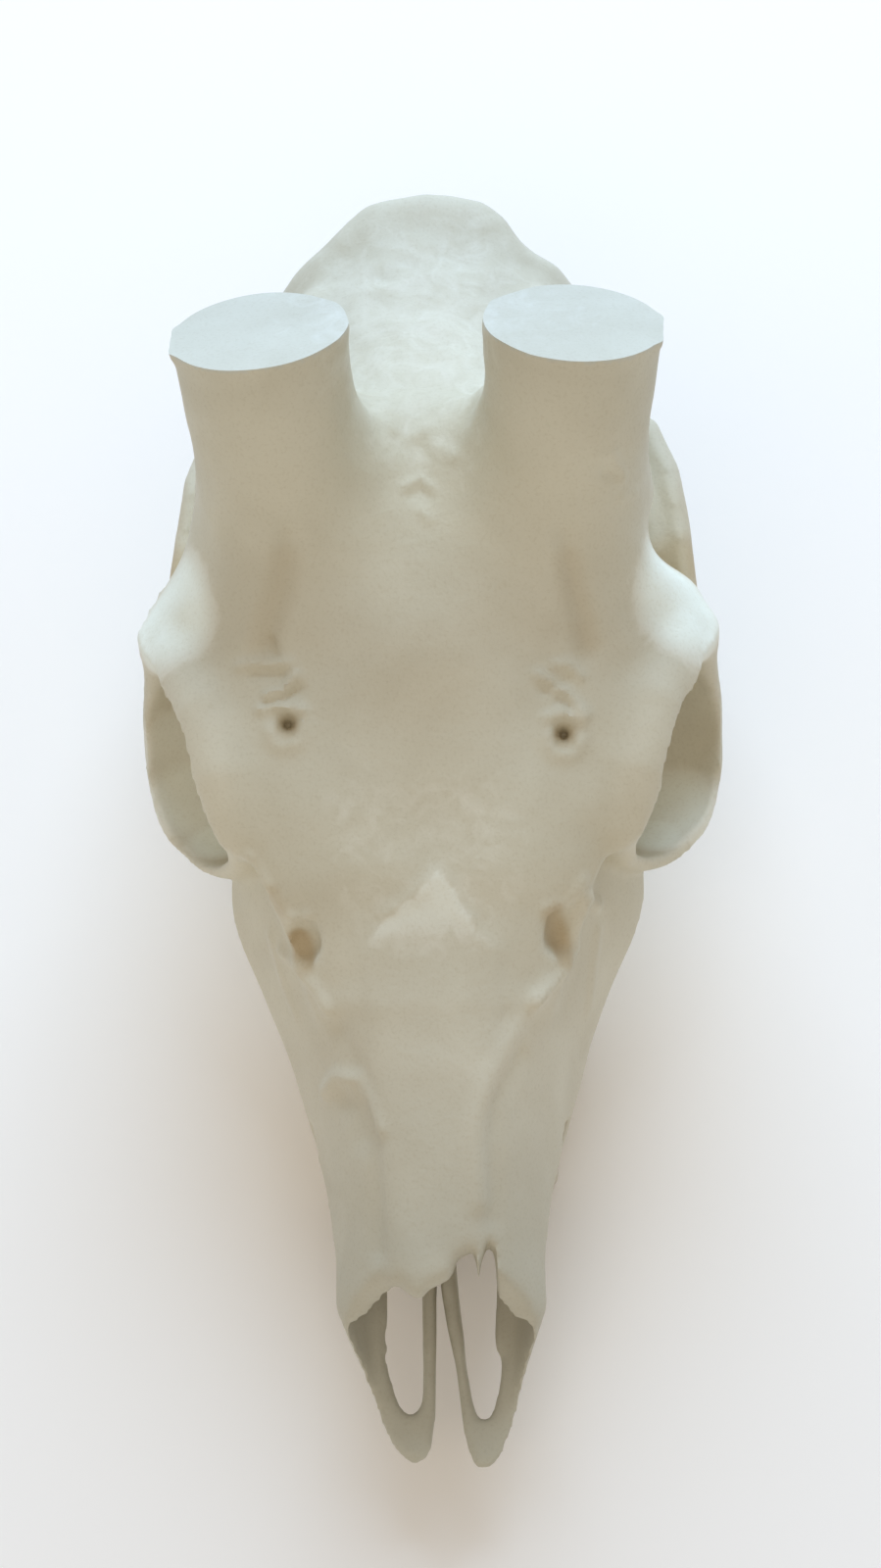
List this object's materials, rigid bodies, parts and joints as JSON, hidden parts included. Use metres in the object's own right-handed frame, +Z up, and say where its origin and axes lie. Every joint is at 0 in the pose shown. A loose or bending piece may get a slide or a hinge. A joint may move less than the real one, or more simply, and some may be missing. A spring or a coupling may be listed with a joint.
{
  "type": "deer skull model",
  "caption": "Cast cranium of an antlered deer without its lower jaw: separate bones meeting at sutures, cheek teeth in sockets, open nose and eye sockets, antler stumps sawn flat.",
  "frame": {"origin": "centre of the box that the skull fills, on the table that its chewing faces and neck pegs stand on", "axes": "+Z up, the snout points along -Y, +X is the skull's left side, so the side at the right of someone who looks at its snout; node names ending in right are on +X as the viewer sees them"},
  "size_m": [0.1242, 0.276, 0.1488],
  "materials": {
    "cast_bone": "matte, off-white, a little warm",
    "cast_teeth": "satin, off-white"
  },
  "bodies": {
    "root": {"premaxilla_right": "cast_bone", "premaxilla_left": "cast_bone", "maxilla_right": "cast_bone", "maxilla_left": "cast_bone", "lacrimal_right": "cast_bone", "lacrimal_left": "cast_bone", "zygomatic_right": "cast_bone", "zygomatic_left": "cast_bone", "frontal_right": "cast_bone", "frontal_left": "cast_bone", "temporal_right": "cast_bone", "temporal_left": "cast_bone", "tympanic_bulla_right": "cast_bone", "tympanic_bulla_left": "cast_bone", "palatine_right": "cast_bone", "palatine_left": "cast_bone", "nasal_right": "cast_bone", "nasal_left": "cast_bone", "parietal": "cast_bone", "occipital": "cast_bone", "sphenoid": "cast_bone", "vomer": "cast_bone", "premolar_2_right": "cast_teeth", "premolar_2_left": "cast_teeth", "premolar_3_right": "cast_teeth", "premolar_3_left": "cast_teeth", "premolar_4_right": "cast_teeth", "premolar_4_left": "cast_teeth", "molar_1_right": "cast_teeth", "molar_1_left": "cast_teeth", "molar_2_right": "cast_teeth", "molar_2_left": "cast_teeth", "molar_3_right": "cast_teeth", "molar_3_left": "cast_teeth"}
  },
  "joints": []
}
